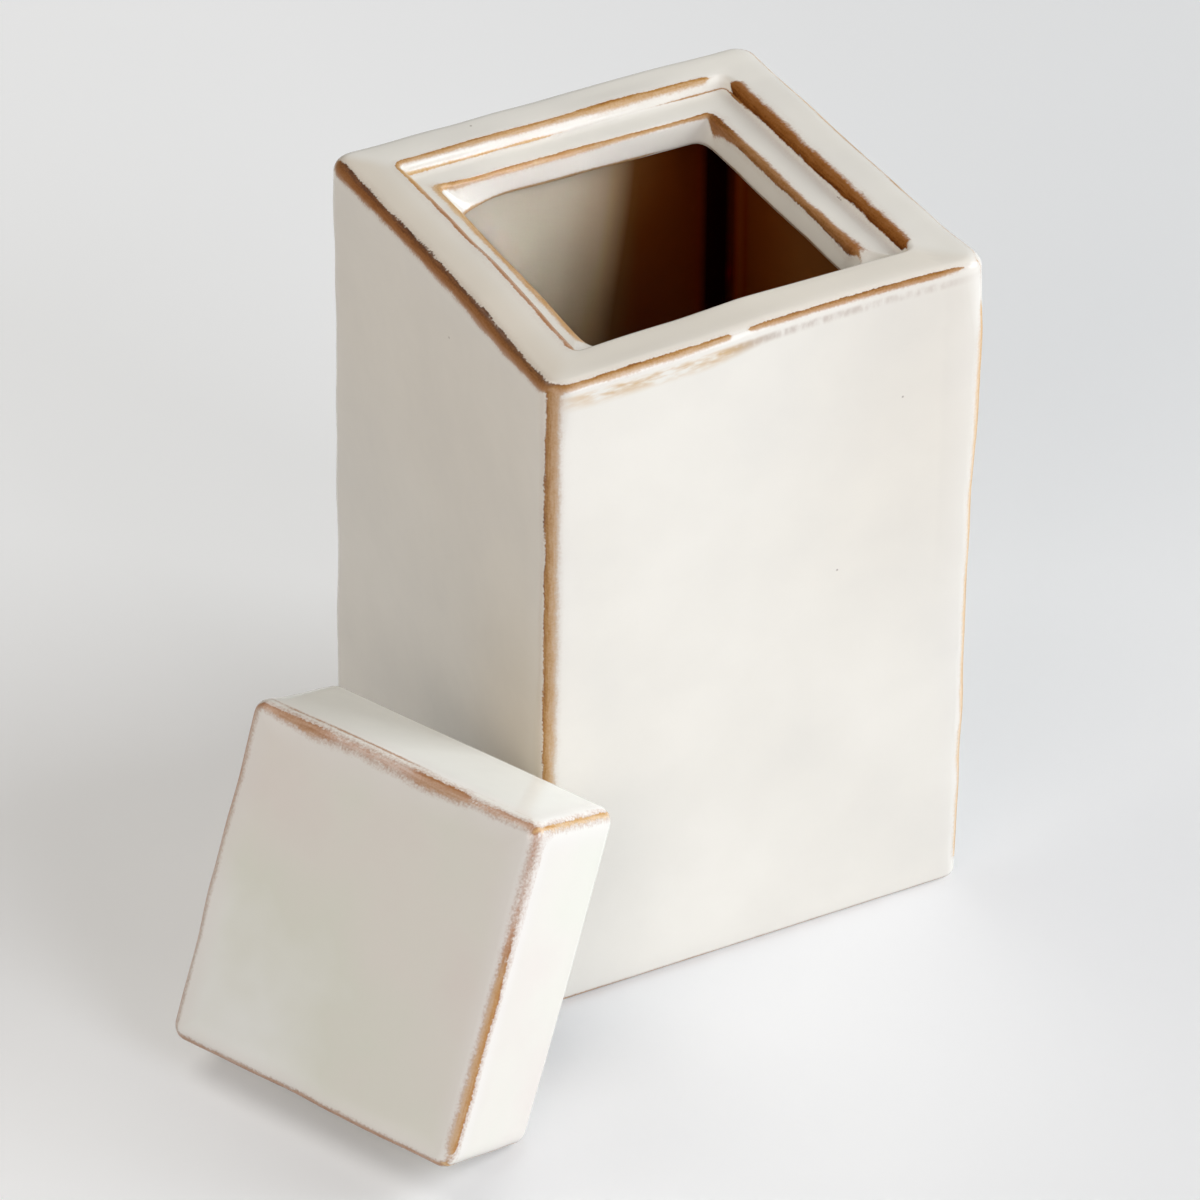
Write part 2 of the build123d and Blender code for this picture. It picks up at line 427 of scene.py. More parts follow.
lid_uprights = (
    ((0, 0, 0.4, 0.4, -0.3, 1), (28, 0, 0.4, 0.5, -0.3, 1)),
    ((0, 0, 0.5, 0.75, 0.1, 1), (28, 0, 0.5, 0.8, 0.1, 1)),
    ((0, 0, 1.4, 0.72, 0, -0.9), (28, 0, 1.4, 0.72, -0.1, -0.9)),
    ((0, 0, 0.4, 0.1, 0.3, 1), (28, 0, 0.4, 0.2, 0.3, 1)),
)
lid_crests["line"] = lid_crests["top"] + 3
print("the lid has bands on", len(lid_edges), "edges all round and on four uprights")

# %% [markdown]
# ## From stops to points
#
# Each number of a band is read from its stops by the point's place along its own side, and mixed
# by how much the point belongs to each side. The uprights are read by height instead. The nearest
# band wins, in its own widths, and a less worn one counts as further off. Coordinates that are
# squeezed along the edge are kept too, so that a noise in them makes streaks along the band.

# %% Give each point its place in the brown bands
nowhere = 99.0
squeezed = 0.88


def by_side(form, sides, column):
    """Reads one number of the four sides' stops at each point, mixed by the point's shares."""
    places = form["points"][:, [1, 0, 1, 0]]
    mixed = np.zeros(len(places))
    for side, stops in enumerate(np.array(s) for s in sides):
        mixed += form["shares"][:, side] * np.interp(places[:, side], stops[:, 0], stops[:, column])
    return mixed


def by_height(form, corners, column):
    """Reads one number of the four uprights' stops at each point's height."""
    heights = form["points"][:, 2]
    rows = [np.interp(heights, np.array(stops)[:, 0], np.array(stops)[:, column]) for stops in corners]
    return np.choose(form["corner"], rows)


def nearest_band(form, crests, edges, uprights, first, last):
    """Finds each point's nearest band and its place in it."""
    walk, columns = form["walked"][form["ring"]], range(1, 6)
    candidates = [
        (walk - form["walked"][crests[name]], *(by_side(form, sides, k) for k in columns), form["along"])
        for name, sides in edges.items()
    ]
    on_upright = (form["ring"] >= crests[first]) & (form["ring"] <= crests[last])
    across = np.where(on_upright, -form["from_corner"], nowhere)
    straight_up = np.array((0.0, 0.0, 1.0)) + 0 * form["along"]
    candidates.append((across, *(by_height(form, uprights, k) for k in columns), straight_up))
    best = {"away": 9.0, "side": 0.0, "wear": 0.0, "tone": 0.0, "lies": form["along"]}
    for across, shift, width, wear, tone, dark, lies in candidates:
        across = across - shift
        away = np.abs(across) / width
        side = np.clip(dark * across / width, -1, 1)
        closer = away + 0.8 * (1 - wear) < best["away"] + 0.8 * (1 - best["wear"])
        best["lies"] = np.where(closer[:, None], lies, best["lies"])
        for key, value in (("away", away), ("side", side), ("wear", wear), ("tone", tone)):
            best[key] = np.where(closer, value, best[key])
    return best


def write_value(piece, name, values):
    """Keeps one number or one vector for each point of a piece, for its material to read."""
    kind, field = ("FLOAT", "value") if values.ndim == 1 else ("FLOAT_VECTOR", "vector")
    attribute = piece.data.attributes.new(name, kind, "POINT")
    attribute.data.foreach_set(field, values.astype(np.float32).ravel())


jar_bands = nearest_band(jar_form, jar_crests, jar_edges, jar_uprights, "wall", "rim")
lid_bands = nearest_band(lid_form, lid_crests, lid_edges, lid_uprights, "top", "back")
for piece, form, bands in ((jar, jar_form, jar_bands), (lid, lid_form, lid_bands)):
    along = (form["points"] * bands["lies"]).sum(1, keepdims=True) * bands["lies"]
    for key in ("away", "side", "wear", "tone"):
        write_value(piece, "break_" + key, bands[key])
    write_value(piece, "break_grain", form["points"] - squeezed * along)
    print(piece.name, "has", int((bands["away"] < 1).sum()), "points where the glaze breaks")

# %% [markdown]
# ## Runs under the rim
#
# Two to six millimetres below the front rim the glaze has run thin again, in tan patches at the
# left and mauve ones at the right. Each point keeps how far it is below the rim's crest, how much
# of the runs it has, and how mauve they are.

# %% Give each point its place below the rim
x, y, z = jar_form["points"].T
left, front, right, back = jar_form["shares"].T
jar_ring = jar_form["ring"]
jar_walk = jar_form["walked"][jar_ring]
outside = jar_ring <= jar_crests["rim"]
write_value(jar, "run_below", np.where(outside, jar_form["walked"][jar_crests["rim"]] - jar_walk, nowhere))
front_runs = np.interp(x, (-50, -46, -38, -8, 0, 20, 40, 47), (0.0, 0.4, 1.0, 1.0, 0.75, 0.6, 0.5, 0.0))
write_value(jar, "run_share", 0.3 * right + 0.3 * back + front * front_runs)
write_value(jar, "run_tone", ease(x, -14, 2))
print("outside points", int(outside.sum()))

# %% [markdown]
# ## The dark inside
#
# Inside, the glaze was only swilled round: it is beige at the left of the far wall, thins to
# iron-brown clay at the right, and is thick again further down, where it pooled. The darkening
# towards the right and the near-black in the far right corner are partly painted shade, where the
# right wall keeps the light out. Each point of the two walls that can be seen keeps how bare its
# clay is and how much shade is painted there.

# %% Give each point inside how bare its clay is, with its painted shade
under_shelf = jar_height - seat_depth - shelf_thickness
far_wall = np.interp(
    x, (-42, -20, 1, 10, 20, 30, 34, 36.5, 40, 41), (0, 0.05, 0.18, 0.32, 0.63, 0.76, 0.83, 1, 1, 0.95))
right_wall = np.interp(
    y, (-42, 11, 28, 33, 35, 37.5, 40.5, 42), (0.55, 0.64, 0.73, 0.77, 0.9, 0.7, 0.8, 0.92))
low = ease(under_shelf - z, 3, 60)
far_wall += 0.2 * low * ease(x, -20, 10) * (1 - ease(x, 18, 34))
bare_and_shade = np.where(x > cavity_width / 2 - 1, right_wall, far_wall) * ease(z, 72, 96)
inside = np.clip((jar_walk - jar_form["walked"][jar_crests["lip"]] - 0.3) / 0.9, 0, 1)
write_value(jar, "liner_bare_and_shade", np.clip(bare_and_shade, 0, 1))
write_value(jar, "liner_inside", inside)
print("inside points", int((inside > 0.5).sum()))

# %% [markdown]
# ## Painted shade and light in the cream
#
# Outside, shade is painted into the cream as a warmer, slightly darker tint: on the left and the
# front of the rim, where less light falls, low on the left wall by the front upright, where the
# lid shades it, and high at the right of the front. Light thrown up from the floor is painted in as
# whiter cream at the front's left foot. The lid's face clouds from mauve to olive, and the lid's
# top side is painted paler and a little warmer as light.

# %% Give each point its painted shade and light, and its place in the clouds
on_rim = (jar_ring > jar_crests["rim"]) * ease(z, 150, 156)
left_wall_shade = ease(-y, 5, 50) * ease(-z, -120, -50) + 0.35 * ease(z, 60, 130)
front_shade = front * outside * ease(x, -10, 45) * ease(z, 40, 130)
# Painted shade: a warm, slightly darker tint on the rim's left and front, low on the left wall and high at
# the right of the front.
stain_and_shade = 0.75 * left * on_rim * (0.4 + 0.6 * ease(-x, 39, 46))
stain_and_shade += left * outside * left_wall_shade + 0.25 * front_shade + 0.35 * front * on_rim
write_value(jar, "glaze_painted_shade", np.clip(stain_and_shade, 0, 1))
# Painted light: whiter cream at the front's left foot, standing in for light from the floor.
painted_floor_bounce = front * outside * ease(-z, -80, -5) * ease(-x, -35, 15)
write_value(jar, "glaze_cloud_and_light", 0.5 + 0.3 * front_shade - 0.35 * painted_floor_bounce)

across, upright, thick = lid_form["points"].T
on_face = ease(thick, 24, 28)
mauve = 0.1 * np.exp(-((across + 22) ** 2 + (upright - 20) ** 2) / 500) + 0.03 * ease(across, 12, 34)
olive = 0.2 * np.exp(-(across**2 + (upright + 8) ** 2) / 450)
white = 0.6 * ease(-across - upright, 12, 60)
# The lid's top side is painted paler and a little warmer, as light.
top_side = (1 - on_face) * lid_form["shares"][:, 3]
write_value(lid, "glaze_painted_shade", 0.12 * top_side)
write_value(lid, "glaze_cloud_and_light", 0.5 + on_face * (mauve - olive - white) - 0.5 * top_side)
print("attributes", sorted(a.name for a in jar.data.attributes if a.domain == "POINT"))

# %% [markdown]
# ## Edges that are never quite straight
#
# Slip casting and fettling by hand leave every wall a little swollen and every edge a little
# wavy. Two waves do it: a slow one that moves a whole wall by less than half a millimetre, and a
# quicker one near the edges. On top of them come faults that can be measured in the photograph:
# the front of the rim is low at the left, the jar leans out at its foot, and its right edge flares
# at the top. The points were measured before, so the brown bands ride on the warped edges.

# %% Warp the jar's walls and edges
slow_wave, quick_wave = 55, 14
half_jar = jar_width / 2


def waves(points, length, seed):
    """A smooth random wave in space, between about -1 and 1, with this wavelength in millimetres."""
    shift = Vector((seed * 17.3, seed * 5.1, seed * 9.7))
    return np.array([noise.noise(Vector(p) / length + shift) for p in points])


def warped(form, bands, slow, quick):
    """Swells the walls slowly and makes the edges wavy, each along the point's own normal."""
    near_edge = 1 - ease(bands["away"], 1, 5)
    push = slow * waves(form["points"], slow_wave, 1)
    push += quick * near_edge * waves(form["points"], quick_wave, 2)
    return form["normals"] * push[:, None]


jar_push = warped(jar_form, jar_bands, 0.5, 0.35) * ease(z, 0, 12)[:, None]
near_front = np.exp(-(((y + half_jar) / 22) ** 2))
near_left = np.exp(-(((x + half_jar) / 22) ** 2))
front_dip = np.interp(
    x, (-50, -38, -27, -15, -1, 14, 28, 40, 50), (-1.6, -1.4, -1.05, -0.7, 0.15, 0.5, 0.6, 0.3, 0))
left_dip = np.interp(y, (-50, -30, -14, 50), (-1.6, -1.2, -0.2, 0.0))
dip = (front_dip * near_front + left_dip * near_left) / (near_front + near_left + 0.05)
jar_push[:, 2] += dip * ease(z, 120, jar_height)
foot_lean = 0.0145 * np.minimum(z - 114.0, 0.0) * ease(z, 0, 3)
jar_push[:, 0] += foot_lean * (1 - ease(x, -half_jar, half_jar)) * (1 - 0.6 * ease(y, -50, 50))
jar_push[:, 0] -= 0.5 * ease(z, 135, 150) * ease(y, 0, 50) * ease(-x, 20, 48)
jar_push[:, 0] += 1.5 * ease(z, 0, jar_height) * ease(x, 30, 50) * ease(-y, -30, 50)
jar_push[:, 0] += 0.8 * ease(z, 90, 145) * ease(x, 40, 50) * ease(-y, 34, 48)
print("the jar's walls and edges move by up to", round(float(np.abs(jar_push).max()), 2), "mm")

# %% [markdown]
# ## The mouth's faults
#
# The mouth was fettled by hand, so it is a millimetre or two off square. The seat's left edge is
# further in, the seat is deeper at the front, the shelf's left and front edges are further out,
# and the lip's far left corner, which glaze has filled, is pulled towards the middle.

# %% Move the mouth's edges, and place the jar's points
def mouth_moves(rows):
    """Reads a move at each point of the mouth. The rows are the four sides' moves at the seat's
    edge, its foot, the shelf's edge and the lip. They fade out over the rim and the liner."""
    named = [jar_crests[k] for k in ("seat", "foot", "shelf", "lip")]
    walk = jar_form["walked"][[jar_crests["rim"] + 5, *named, jar_crests["lip"] + 5]]
    table = np.vstack((np.zeros(4), np.array(rows), np.zeros(4)))
    sides = [np.interp(jar_walk, walk, table[:, side]) for side in range(4)]
    return (jar_form["shares"] * np.stack(sides, 1)).sum(1)


outwards = mouth_moves((
    (-1.1, 0, 0, 0.5), (-0.6, 0, 0, 0), (2.2, 2.6, -0.3, 0), (1.2, 2.6, -0.8, 0)))
upwards = mouth_moves((
    (0, 0, 0, 0), (0, -1.9, 0, 0), (0, -1.9, 0, 0), (0, -1.9, -1.5, -0.3)))
sideways = np.stack((-jar_form["along"][:, 1], jar_form["along"][:, 0]), 1)
facing = np.sign((jar_form["points"][:, :2] * sideways).sum(1))
jar_push[:, :2] += (outwards * facing)[:, None] * sideways
jar_push[:, 2] += upwards
pulled = 2.2 * np.exp(-((x + 31) ** 2 + (y - 31) ** 2) / 60)
pulled *= np.interp(jar_ring, [jar_crests["lip"] + k for k in (-5, -1, 3, 8)], (0.0, 1.0, 1.0, 0.0))
jar_push[:, :2] += pulled[:, None] * np.array((1, -1))


def place_points(piece, points):
    """Gives a mesh its warped points, in millimetres."""
    piece.data.vertices.foreach_set("co", points.ravel())
    piece.data.update()
    print(piece.name, "now measures", [round(v, 2) for v in np.ptp(points, axis=0)])


place_points(jar, jar_form["points"] + jar_push)

# %% [markdown]
# ## The lid's faults
#
# The lid has the same two waves. Its face reaches a little lower than its back, its back a little
# higher than its face, and its lower right corner is pulled in.

# %% Warp the lid
lid_push = warped(lid_form, lid_bands, 0.35, 0.45) * ease(thick, -0.5, 8)[:, None]
face_side = ease(thick, 4, 26)
lid_push[:, 1] -= 1.5 * ease(-upright, 10, 37) * face_side
lid_push[:, 1] += 0.6 * ease(upright, 20, 37) * (1 - face_side)
lid_push[:, 0] -= 0.5 * ease(across, 10, 37) * ease(-upright, 0, 37)
place_points(lid, lid_form["points"] + lid_push)

# %% [markdown]
# ## The lid's place
#
# The lid was shaped as it sits when closed, with level faces. Now it is turned and tipped back
# until its lower back edge stands on the floor and the collar that hides behind it rests on the
# jar's front upright edge, with the same turn, lean and gap as in the CAD model.

# %% Lean the lid on the jar
lean_turn, lean_angle = math.radians(-65.5), math.radians(23.7)
lean_offset, lean_gap = 10.6, 0.3
along_lid = Vector((math.cos(lean_turn), math.sin(lean_turn), 0))
towards_jar = Vector((-math.sin(lean_turn), math.cos(lean_turn), 0))
lid_out = Vector((0, 0, math.sin(lean_angle))) - towards_jar * math.cos(lean_angle)
jar_edge = Vector((-1, -1, 0)) * (jar_width / 2 - jar_corner)
collar_up = collar_width / 2 - collar_end_round
collar_in = collar_depth - collar_end_round
stand_off = jar_corner + collar_end_round + lean_gap
stand_off += collar_up * math.sin(lean_angle) + collar_in * math.cos(lean_angle)
block_drop = lid_round + (lid_width / 2 - lid_round) * math.cos(lean_angle)
block_drop -= lid_round * math.sin(lean_angle)
lid_middle = along_lid * (jar_edge.dot(along_lid) - lean_offset)
lid_middle += towards_jar * (jar_edge.dot(towards_jar) - stand_off) + Vector((0, 0, block_drop))
lid_place = Matrix((along_lid, lid_out.cross(along_lid), lid_out)).transposed().to_4x4()
lid.matrix_world = Matrix.Translation(lid_middle) @ lid_place
bpy.context.view_layer.update()
print("the lid's middle is at", [round(v, 1) for v in lid_middle], "mm")

# %% [markdown]
# ## From millimetres to metres
#
# The turn, the place and the scale are applied, so that each finished object is at the origin,
# unturned and unscaled. Nothing may go below the floor.

# %% Bring both pieces to the frame
for piece, node in ((jar, "jar_body"), (lid, "lid")):
    bpy.ops.object.select_all(action="DESELECT")
    piece.select_set(True)
    bpy.context.view_layer.objects.active = piece
    piece.matrix_world = Matrix.Scale(mm, 4) @ piece.matrix_world
    bpy.ops.object.transform_apply(location=True, rotation=True, scale=True)
    for point in piece.data.vertices:
        point.co.z = max(point.co.z, 0.0)
    places = np.array([v.co for v in piece.data.vertices])
    low_side, high_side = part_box(node)
    below = [round((a - b) / mm, 2) for a, b in zip(places.min(0), low_side)]
    above = [round((a - b) / mm, 2) for a, b in zip(places.max(0), high_side)]
    print(piece.name, "differs from the CAD box by", below, above, "mm")

# %% [markdown]
# ## Colours and nodes
#
# Colours are written as a paint chart gives them, in sRGB hex, and one function turns them to the
# linear values that Blender works in. One more function adds a node, sets it and links it, so
# that a material reads as a list of steps.

# %% Helpers for materials
def colour(code):
    """Turns an sRGB hex colour to linear red, green, blue and alpha."""
    channels = [int(code[i : i + 2], 16) / 255 for i in (1, 3, 5)]
    return (*[c / 12.92 if c <= 0.04045 else ((c + 0.055) / 1.055) ** 2.4 for c in channels], 1.0)


def feed(node, inputs):
    """Sets inputs, by name or number, each to a node, one of its sockets or a value."""
    for key, value in inputs.items():
        goal = next(s for n, s in enumerate(node.inputs) if s.enabled and key in (n, s.name))
        if isinstance(value, bpy.types.Node):
            value = next(s for s in value.outputs if s.enabled)
        if isinstance(value, bpy.types.NodeSocket):
            node.id_data.links.new(value, goal)
        else:
            goal.default_value = value


def add(tree, kind, inputs, stops=(), **settings):
    """Adds a node with its settings, its inputs and, if it is a ramp, its stops."""
    node = tree.nodes.new("ShaderNode" + kind)
    for name, value in settings.items():
        setattr(node, name, value)
    feed(node, inputs)
    for number, (place, code) in enumerate(stops):
        marks = node.color_ramp.elements
        mark = marks[number] if number < 2 else marks.new(place)
        mark.position, mark.color = place, colour(code)
    return node


in_colour = {"data_type": "RGBA"}
smooth = {"interpolation_type": "SMOOTHSTEP"}
print("a mid grey is", [round(c, 3) for c in colour("#BCBCBC")])

# %% [markdown]
# ## Glazed stoneware
#
# The real finish is a thick cream tin glaze over iron-bearing stoneware. Glaze is a glass, so its
# index of refraction is 1.5 and it is nearly mirror smooth, with a little waviness where it
# pooled. It is built in layers, one function for each. Sizes in the attributes are in millimetres
# and sizes in Object coordinates in metres: half a millimetre is 0.5 in one, 0.0005 in the other.

# %% Read what the points know, and cloud the cream
def read(tree, name, output="Fac"):
    """Reads one of the attributes that were kept on the points."""
    return add(tree, "Attribute", {}, attribute_name=name).outputs[output]


def unsettled(tree, value, *noises):
    """Moves a value up and down by noises: each has its coordinates, its size, detail and amount."""
    for spot, size, detail, amount in noises:
        texture = add(tree, "TexNoise", {"Vector": spot, "Scale": 1 / size, "Detail": detail})
        part = add(tree, "Math", {0: texture, 1: amount, 2: -amount / 2}, operation="MULTIPLY_ADD")
        value = add(tree, "Math", {0: value, 1: part}, operation="ADD")
    return value


def clouded(tree, place, stops):
    """The cream itself, which clouds by a few percent over a few centimetres, with the painted shade and
    light that the points keep.
    """
    cloud_and_light = unsettled(tree, read(tree, "glaze_cloud_and_light"), (place, 0.03, 3.0, 0.8))
    cream, stain_and_shade = add(tree, "ValToRGB", {"Fac": cloud_and_light}, stops), read(tree, "glaze_painted_shade")
    # The warm tint mixed in here is painted shade.
    return add(tree, "Mix", {"Factor": stain_and_shade, "A": cream, "B": colour("#DDD0BC")}, **in_colour)


print("a grain of half a millimetre is", 0.5 * mm, "m")

# %% [markdown]
# ## The breaks
#
# A break has two steps: first the glaze gets thin and milky, and then it is gone. Both are read
# from the same distance, whose border is moved by noises of four sizes: fine crumbs, scallops
# along the edge, and two slow ones that make the band thicker and thinner. Less wear pulls the
# border in until nothing is left. One border is crisp and the other fades out, as on the real
# jar, where the glaze ran off the edge to one side.

# %% Measure how far into a break each spot is
def into_break(tree, place, grain, patchy):
    """The distance to the break's middle in band widths, with a wandering border."""
    reach = unsettled(
        tree, read(tree, "break_away"), (place, 0.0006, 3.0, 0.25 + patchy), (grain, 0.8, 2.0, 0.45),
        (place, 0.009, 1.0, 0.6), (place, 0.004, 2.0, patchy))
    lack = add(tree, "Math", {0: 1.0, 1: read(tree, "break_wear")}, operation="SUBTRACT")
    return add(tree, "Math", {0: lack, 1: 1.6, 2: reach}, operation="MULTIPLY_ADD")


def worn_away(tree, reach):
    """How far the clay shows, from 0 under thick glaze to 1 in the middle of a break."""
    soft = add(tree, "MapRange", {
        "Value": read(tree, "break_side"), "From Min": -0.7, "From Max": 0.5, "To Min": 1.3, "To Max": 0.85})
    return add(tree, "MapRange", {"Value": reach, "From Min": soft, "From Max": 0.62}, **smooth)


# %% [markdown]
# ## The milky fringe
#
# Glaze that has thinned without breaking is paler, up to six band widths away, and lets the clay
# through in specks next to the break, which gives a soft mauve fringe.

# %% Put the fringe around the breaks
def with_fringe(tree, place, reach, amount, body):
    """Milky thin glaze around a break, with specks of clay in it."""
    milk = add(tree, "MapRange", {
        "Value": read(tree, "break_away"), "From Min": 6.0, "From Max": 1.0, "To Max": amount}, **smooth)
    milky = add(tree, "Mix", {"Factor": milk, "A": body, "B": colour("#F1ECE7")}, **in_colour)
    grit = add(tree, "TexNoise", {"Vector": place, "Scale": 1 / 0.0005, "Detail": 2.0})
    specks = add(tree, "MapRange", {
        "Value": grit, "From Min": 0.35, "From Max": 0.65, "To Min": amount / 2, "To Max": 1.5 * amount})
    thin = add(tree, "MapRange", {
        "Value": reach, "From Min": 1.9, "From Max": 0.9, "To Max": specks}, **smooth)
    return add(tree, "Mix", {"Factor": thin, "A": milky, "B": colour("#C6AB99")}, **in_colour)


# %% [markdown]
# ## The clay
#
# The bare clay is palest where a little glaze is left and darkest at the crisp border, where the
# iron gathered. A break's tone picks its kind: mauve below 0, golden tan at 0, dark brown at 1.

# %% Colour the clay across a band
def clay(tree, place, grain):
    """From the soft border to the dark one, in a mauve, a tan and a dark kind, a little mottled."""
    across = unsettled(tree, read(tree, "break_side"), (grain, 0.45, 3.0, 1.2), (place, 0.0005, 3.0, 0.9))
    across = add(tree, "MapRange", {"Value": across, "From Min": -1.0, "From Max": 1.0})
    tone = read(tree, "break_tone")
    rust = add(tree, "Math", {0: tone, 1: 1.6, 2: 1.6}, operation="MULTIPLY_ADD")
    rusty = add(tree, "Math", {0: across, 1: rust}, operation="ADD")
    mauve = add(tree, "ValToRGB", {"Fac": rusty}, (
        (0.0, "#DED2C8"), (0.45, "#CDB3A3"), (0.7, "#B98D73"), (1.0, "#9C6543")))
    tan = add(tree, "ValToRGB", {"Fac": across}, (
        (0.0, "#E9D9C3"), (0.35, "#DFC097"), (0.65, "#CD9C58"), (0.85, "#B87C38"), (1.0, "#7E4A1C")))
    dark = add(tree, "ValToRGB", {"Fac": across}, (
        (0.0, "#A87B57"), (0.25, "#A06A3C"), (0.5, "#8F5828"), (0.75, "#673815"), (1.0, "#42210E")))
    warm = add(tree, "Mix", {"Factor": tone, "A": tan, "B": dark}, **in_colour)
    pink = add(tree, "Math", {0: tone, 1: -1.0}, operation="MULTIPLY")
    return add(tree, "Mix", {"Factor": pink, "A": warm, "B": mauve}, **in_colour)


# %% [markdown]
# ## Runs, liner and pinholes
#
# The tan runs below the rim are smears that follow it, so their noise is stretched along the rim,
# and the mauve ones hang, so theirs is stretched in height. The liner is one ramp, from beige
# glaze to bare clay and on to painted shade, near-black in the far corner. Pinholes are where a
# bubble burst in the kiln, and the jar shows five.

# %% Add the runs, the liner and the pinholes
pinholes = (
    ((1, 1, 0), (-0.0183, 0.0456, 0)), ((1, 1, 0), (0.0412, -0.0158, 0)),
    ((0, 1, 1), (0, -0.0058, 0.1425)), ((1, 0, 1), (0.032, 0, 0.1289)), ((1, 0, 1), (0.0175, 0, 0.0904)),
)


def with_runs(tree, place, body):
    """Lays tan and mauve smears over the body, a few millimetres below the rim."""
    mauve, smears = read(tree, "run_tone"), []
    for squeeze in ((0.25, 1.0, 0.9), (0.6, 1.0, 0.3)):
        drawn_out = add(tree, "Mapping", {"Vector": place, "Scale": squeeze})
        smears.append(add(tree, "TexNoise", {"Vector": drawn_out, "Scale": 1 / 0.0009, "Detail": 2.0}))
    fine = add(tree, "Mix", {"Factor": mauve, "A": smears[0], "B": smears[1]}, data_type="FLOAT")
    broad = add(tree, "TexNoise", {"Vector": place, "Scale": 1 / 0.009, "Detail": 2.0})
    blots = add(tree, "Math", {0: fine, 1: broad}, operation="ADD")
    amount = add(tree, "MapRange", {"Value": blots, "From Min": 0.64, "From Max": 1.2}, **smooth)
    lowest = add(tree, "MapRange", {"Value": mauve, "To Min": 6.4, "To Max": 4.4})
    for near, far in ((1.6, 2.6), (lowest, 3.0)):
        edge = add(tree, "MapRange", {
            "Value": read(tree, "run_below"), "From Min": near, "From Max": far}, **smooth)
        amount = add(tree, "Math", {0: amount, 1: edge}, operation="MULTIPLY")
    amount = add(tree, "Math", {0: amount, 1: read(tree, "run_share")}, operation="MULTIPLY")
    stain_and_shade = add(tree, "Mix", {"Factor": mauve, "A": colour("#D3AE78"), "B": colour("#B8A799")}, **in_colour)
    return add(tree, "Mix", {"Factor": amount, "A": body, "B": stain_and_shade}, **in_colour)


def with_liner(tree, shown):
    """Puts the swilled liner, with its painted shade, over everything below the throat's lip."""
    # From beige glaze through brown clay to painted near-black shade in the far corner.
    liner = add(tree, "ValToRGB", {"Fac": read(tree, "liner_bare_and_shade")}, (
        (0.0, "#F3ECDC"), (0.25, "#E0D3BC"), (0.45, "#BDA27E"), (0.6, "#7F5026"), (0.72, "#783A10"),
        (0.86, "#702806"), (1.0, "#120100")))
    inside = read(tree, "liner_inside")
    return add(tree, "Mix", {"Factor": inside, "A": shown, "B": liner}, **in_colour)


def with_pinholes(tree, place, shown):
    """Dots the pinholes. Each is seen along one axis, so that axis is left out of its distance."""
    for keep, spot in pinholes:
        flat = add(tree, "VectorMath", {0: place, 1: keep}, operation="MULTIPLY")
        away = add(tree, "VectorMath", {0: flat, 1: spot}, operation="DISTANCE")
        hole = add(tree, "MapRange", {
            "Value": away, "From Min": 0.00034, "From Max": 0.00012, "To Max": 0.55})
        shown = add(tree, "Mix", {"Factor": hole, "A": shown, "B": colour("#6B4A33")}, **in_colour)
    return shown


print("pinholes", len(pinholes))

# %% [markdown]
# ## The two glazes
#
# The lid's glaze came out more clouded than the jar's, and its bands more broken. Where the clay
# shows, the surface is rougher and lies a little lower, and the liner is matt where it is thin.

# %% Put the layers together
def glaze(name, stops, patchy, milky, is_jar):
    """One glaze from its layers. Only the jar has runs, a liner and pinholes."""
    material = bpy.data.materials.new(name)
    material.use_nodes = True
    tree = material.node_tree
    surface = tree.nodes["Principled BSDF"]
    place = add(tree, "TexCoord", {}).outputs["Object"]
    grain = read(tree, "break_grain", "Vector")
    reach = into_break(tree, place, grain, patchy)
    worn = worn_away(tree, reach)
    shown = clouded(tree, place, stops)
    if is_jar:
        shown = with_pinholes(tree, place, with_runs(tree, place, shown))
    shown = with_fringe(tree, place, reach, milky, shown)
    shown = add(tree, "Mix", {"Factor": worn, "A": shown, "B": clay(tree, place, grain)}, **in_colour)
    if is_jar:
        shown = with_liner(tree, shown)
        matt = add(tree, "MapRange", {"Value": read(tree, "liner_bare_and_shade"), "To Min": 0.5, "To Max": 0.0})
        feed(surface, {"Specular IOR Level": matt})
    rough = add(tree, "MapRange", {"Value": worn, "To Min": 0.12, "To Max": 0.3})
    swell = add(tree, "TexNoise", {"Vector": place, "Scale": 1 / 0.012, "Detail": 2.0})
    lift = add(tree, "Math", {0: worn, 1: -0.3, 2: swell}, operation="MULTIPLY_ADD")
    bump = add(tree, "Bump", {"Strength": 0.25, "Distance": 0.0005, "Height": lift})
    feed(surface, {"Base Color": shown, "IOR": 1.5, "Roughness": rough, "Normal": bump})
    return material


jar_glaze = glaze(
    "glazed_stoneware_cream", ((0.0, "#F8F4EB"), (0.5, "#EEEAE1"), (1.0, "#E0DDD7")), 0.35, 0.15, True)
lid_glaze = glaze(
    "glazed_stoneware_clouded",
    ((0.0, "#F5F6F1"), (0.3, "#EAEADE"), (0.5, "#EDE9E0"), (0.8, "#ECE1DB")), 0.8, 0.6, False)
print("glazes", jar_glaze.name, lid_glaze.name)

# %% [markdown]
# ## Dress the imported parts
#
# Each form stands for its CAD part, which stays hidden for the simulator, and moves with its
# body: the lid can be lifted and the jar can't.

# %% Hand the forms to the frame
for piece, body, node, slot, finish in (
    (jar, "jar", "jar_body", "jar_glaze", jar_glaze),
    (lid, "lid", "lid", "lid_glaze", lid_glaze),
):
    piece.data.materials.clear()
    piece.data.materials.append(finish)
    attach(piece, body)
    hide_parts(node)
    print(piece.name, "rides on", body)
